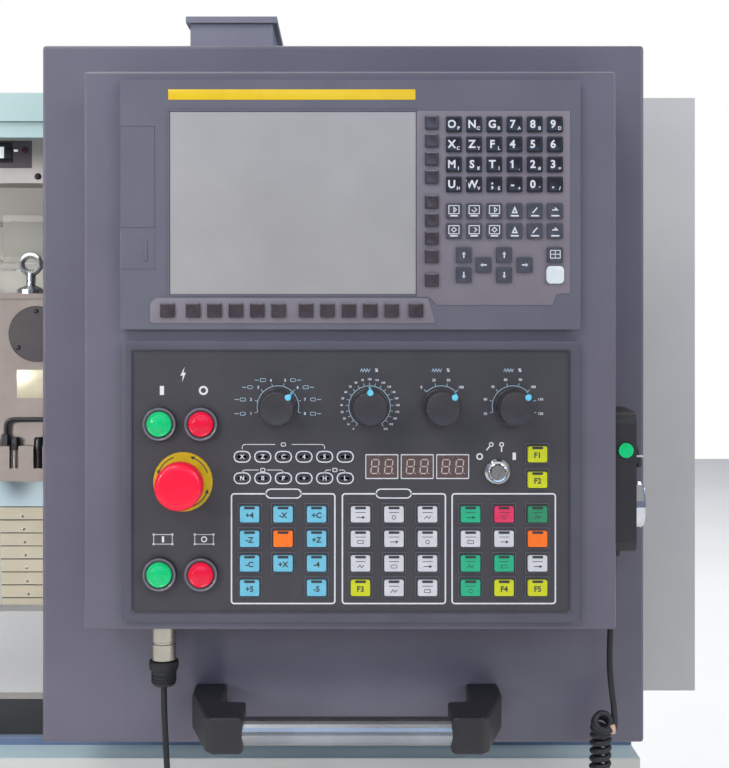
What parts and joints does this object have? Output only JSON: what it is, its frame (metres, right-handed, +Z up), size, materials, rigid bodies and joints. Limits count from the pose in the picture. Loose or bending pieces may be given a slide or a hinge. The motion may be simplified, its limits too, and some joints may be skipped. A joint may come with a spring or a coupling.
{
  "type": "cnc turning lathe",
  "caption": "Computer controlled turning lathe with sliding door, chuck, tool turret, tailstock and a swivelling operator pendant with display, switches and hand unit.",
  "frame": {"origin": "on the floor under the middle of the machine's box", "axes": "+X to the right along the spindle, from headstock to tailstock; +Y to the rear; +Z up"},
  "size_m": [2.69, 1.772, 1.634],
  "materials": {
    "slate_paint": "semi-gloss powder coat, slate grey violet",
    "dark_plastic": "dark grey moulded plastic",
    "panel_black": "black printed film on a plate",
    "cream_paint": "cream enamel, slightly textured",
    "grey_paint": "light grey enamel",
    "green_paint": "pale green-grey enamel",
    "inner_paint": "matt grey-beige enamel",
    "casting": "painted casting, grey brown",
    "steel": "machined steel",
    "ground_steel": "ground hardened steel",
    "plate_paint": "cream coated sheet",
    "black_plastic": "black moulded plastic",
    "dark_glass": "tinted polycarbonate",
    "screen_film": "grey screen behind a clear sheet",
    "aluminium": "brushed anodised aluminium",
    "chrome": "polished chrome",
    "red_plastic": "red moulded plastic",
    "green_plastic": "green moulded plastic",
    "rubber": "black cord sheath"
  },
  "bodies": {
    "frame": {"base": "cream_paint", "left_cover": "green_paint", "right_cover": "grey_paint", "front_guard": "grey_paint", "rear_wall": "inner_paint", "roof_header": "green_paint", "work_lamp": "inner_paint", "headstock": "casting", "electrical_cabinet": "cream_paint", "pendant_arm": "slate_paint"},
    "door": {"door_leaf": "cream_paint", "door_window": "dark_glass", "door_handle": "black_plastic"},
    "spindle": {"spindle": "steel", "chuck_body": "steel"},
    "chuck_jaw_1": {"chuck_jaw_1": "ground_steel"},
    "chuck_jaw_2": {"chuck_jaw_2": "ground_steel"},
    "chuck_jaw_3": {"chuck_jaw_3": "ground_steel"},
    "saddle": {"saddle": "casting"},
    "cross_slide": {"cross_slide": "plate_paint", "turret_housing": "casting", "eye_bolt": "steel", "coolant_pipe": "black_plastic"},
    "turret_disc": {"turret_disc": "steel"},
    "tailstock": {"tailstock_body": "casting"},
    "quill": {"tailstock_quill": "ground_steel"},
    "cabinet_door": {"cabinet_door": "cream_paint"},
    "pendant": {"pendant_box": "slate_paint", "handle_bracket_left": "black_plastic", "handle_bracket_right": "black_plastic", "handle_bar": "aluminium"},
    "console": {"console_box": "slate_paint", "display_unit": "dark_plastic", "screen": "screen_film", "operator_panel": "panel_black", "mpg_case": "black_plastic", "cord_connector": "steel", "mpg_lead_lower": "rubber", "mpg_curly_cord": "rubber", "mpg_lead_upper": "rubber"},
    "card_cover": {"card_cover": "dark_plastic"},
    "mode_knob": {"mode_knob": "black_plastic"},
    "feed_knob": {"feed_knob": "black_plastic"},
    "rapid_knob": {"rapid_knob": "black_plastic"},
    "spindle_knob": {"spindle_knob": "black_plastic"},
    "key_switch": {"key_switch": "chrome"},
    "estop_button": {"estop_button": "red_plastic"},
    "power_on_button": {"power_on_button": "green_plastic"},
    "power_off_button": {"power_off_button": "red_plastic"},
    "cycle_start_button": {"cycle_start_button": "green_plastic"},
    "cycle_stop_button": {"cycle_stop_button": "red_plastic"},
    "mpg_wheel": {"mpg_wheel": "chrome"},
    "mpg_enable_button": {"mpg_enable_button": "green_plastic"},
    "cover_plate_1": {"cover_plate_1": "plate_paint"},
    "cover_plate_2": {"cover_plate_2": "plate_paint"},
    "cover_plate_3": {"cover_plate_3": "plate_paint"},
    "cover_plate_4": {"cover_plate_4": "plate_paint"},
    "cover_plate_5": {"cover_plate_5": "plate_paint"},
    "cover_plate_6": {"cover_plate_6": "plate_paint"},
    "cover_plate_7": {"cover_plate_7": "plate_paint"}
  },
  "joints": [
    {"name": "door_slide", "type": "slide", "parent": "frame", "child": "door", "axis": [1, 0, 0], "range_m": [0, 0.985]},
    {"name": "spindle_spin", "type": "hinge", "parent": "frame", "child": "spindle", "pos_m": [-0.1997, 0.02, 0.977], "axis": [1, 0, 0], "continuous": true},
    {"name": "jaw_1_slide", "type": "slide", "parent": "spindle", "child": "chuck_jaw_1", "axis": [0, 0, 1], "range_m": [-0.012, 0.01]},
    {"name": "jaw_2_slide", "type": "slide", "parent": "spindle", "child": "chuck_jaw_2", "axis": [0, -0.866, -0.5], "range_m": [-0.012, 0.01]},
    {"name": "jaw_3_slide", "type": "slide", "parent": "spindle", "child": "chuck_jaw_3", "axis": [0, 0.866, -0.5], "range_m": [-0.012, 0.01]},
    {"name": "carriage_slide", "type": "slide", "parent": "frame", "child": "saddle", "axis": [1, 0, 0], "range_m": [-0.28, 0.03]},
    {"name": "cross_slide_travel", "type": "slide", "parent": "saddle", "child": "cross_slide", "axis": [0, 0, 1], "range_m": [-0.085, 0.06]},
    {"name": "cover_plate_1_slide", "type": "slide", "parent": "saddle", "child": "cover_plate_1", "axis": [0, 0, 1], "range_m": [-0.07437, 0.0525]},
    {"name": "cover_plate_2_slide", "type": "slide", "parent": "saddle", "child": "cover_plate_2", "axis": [0, 0, 1], "range_m": [-0.06375, 0.045]},
    {"name": "cover_plate_3_slide", "type": "slide", "parent": "saddle", "child": "cover_plate_3", "axis": [0, 0, 1], "range_m": [-0.05312, 0.0375]},
    {"name": "cover_plate_4_slide", "type": "slide", "parent": "saddle", "child": "cover_plate_4", "axis": [0, 0, 1], "range_m": [-0.0425, 0.03]},
    {"name": "cover_plate_5_slide", "type": "slide", "parent": "saddle", "child": "cover_plate_5", "axis": [0, 0, 1], "range_m": [-0.03188, 0.0225]},
    {"name": "cover_plate_6_slide", "type": "slide", "parent": "saddle", "child": "cover_plate_6", "axis": [0, 0, 1], "range_m": [-0.02125, 0.015]},
    {"name": "cover_plate_7_slide", "type": "slide", "parent": "saddle", "child": "cover_plate_7", "axis": [0, 0, 1], "range_m": [-0.01063, 0.0075]},
    {"name": "turret_index", "type": "hinge", "parent": "cross_slide", "child": "turret_disc", "pos_m": [0.3, 0.02, 1.244], "axis": [1, 0, 0], "continuous": true},
    {"name": "tailstock_slide", "type": "slide", "parent": "frame", "child": "tailstock", "axis": [1, 0, 0], "range_m": [-0.1, 0]},
    {"name": "quill_slide", "type": "slide", "parent": "tailstock", "child": "quill", "axis": [1, 0, 0], "range_m": [-0.06, 0]},
    {"name": "cabinet_door_hinge", "type": "hinge", "parent": "frame", "child": "cabinet_door", "pos_m": [-0.55, 0.886, 0.24], "axis": [0, 0, 1], "range_deg": [0, 110]},
    {"name": "pendant_swivel", "type": "hinge", "parent": "frame", "child": "pendant", "pos_m": [0.824, -0.66, 1.603], "axis": [0, 0, 1], "range_deg": [-40, 0]},
    {"name": "console_hinge", "type": "hinge", "parent": "pendant", "child": "console", "pos_m": [0.70695, -0.7646, 1.3162], "axis": [0, 0, 1], "range_deg": [-90, 0]},
    {"name": "card_cover_hinge", "type": "hinge", "parent": "console", "child": "card_cover", "pos_m": [0.7403, -0.85, 1.46585], "axis": [0, 0, 1], "range_deg": [-105, 0]},
    {"name": "mode_knob_turn", "type": "hinge", "parent": "console", "child": "mode_knob", "pos_m": [0.8757, -0.8488, 1.2682], "axis": [0, 1, 0], "range_deg": [-150, 60]},
    {"name": "feed_knob_turn", "type": "hinge", "parent": "console", "child": "feed_knob", "pos_m": [0.9546, -0.8488, 1.2682], "axis": [0, 1, 0], "range_deg": [-145, 145]},
    {"name": "rapid_knob_turn", "type": "hinge", "parent": "console", "child": "rapid_knob", "pos_m": [1.0163, -0.8488, 1.2682], "axis": [0, 1, 0], "range_deg": [-90, 0]},
    {"name": "spindle_knob_turn", "type": "hinge", "parent": "console", "child": "spindle_knob", "pos_m": [1.0781, -0.8488, 1.2682], "axis": [0, 1, 0], "range_deg": [-150, 60]},
    {"name": "key_turn", "type": "hinge", "parent": "console", "child": "key_switch", "pos_m": [1.0648, -0.8485, 1.2123], "axis": [0, 1, 0], "range_deg": [0, 90]},
    {"name": "estop_push", "type": "slide", "parent": "console", "child": "estop_button", "axis": [0, 1, 0], "range_m": [0, 0.004], "stiffness_N_per_m": 400},
    {"name": "power_on_push", "type": "slide", "parent": "console", "child": "power_on_button", "axis": [0, 1, 0], "range_m": [0, 0.003], "stiffness_N_per_m": 250},
    {"name": "power_off_push", "type": "slide", "parent": "console", "child": "power_off_button", "axis": [0, 1, 0], "range_m": [0, 0.003], "stiffness_N_per_m": 250},
    {"name": "cycle_start_push", "type": "slide", "parent": "console", "child": "cycle_start_button", "axis": [0, 1, 0], "range_m": [0, 0.003], "stiffness_N_per_m": 250},
    {"name": "cycle_stop_push", "type": "slide", "parent": "console", "child": "cycle_stop_button", "axis": [0, 1, 0], "range_m": [0, 0.003], "stiffness_N_per_m": 250},
    {"name": "mpg_wheel_turn", "type": "hinge", "parent": "console", "child": "mpg_wheel", "pos_m": [1.18805, -0.8015, 1.177], "axis": [1, 0, 0], "continuous": true},
    {"name": "mpg_enable_push", "type": "slide", "parent": "console", "child": "mpg_enable_button", "axis": [0, 1, 0], "range_m": [0, 0.0015], "stiffness_N_per_m": 200}
  ],
  "couplings": [
    {"joint": "jaw_2_slide", "follows": "jaw_1_slide", "ratio": 1},
    {"joint": "jaw_3_slide", "follows": "jaw_1_slide", "ratio": 1},
    {"joint": "cover_plate_1_slide", "follows": "cross_slide_travel", "ratio": 0.875},
    {"joint": "cover_plate_2_slide", "follows": "cross_slide_travel", "ratio": 0.75},
    {"joint": "cover_plate_3_slide", "follows": "cross_slide_travel", "ratio": 0.625},
    {"joint": "cover_plate_4_slide", "follows": "cross_slide_travel", "ratio": 0.5},
    {"joint": "cover_plate_5_slide", "follows": "cross_slide_travel", "ratio": 0.375},
    {"joint": "cover_plate_6_slide", "follows": "cross_slide_travel", "ratio": 0.25},
    {"joint": "cover_plate_7_slide", "follows": "cross_slide_travel", "ratio": 0.125}
  ]
}
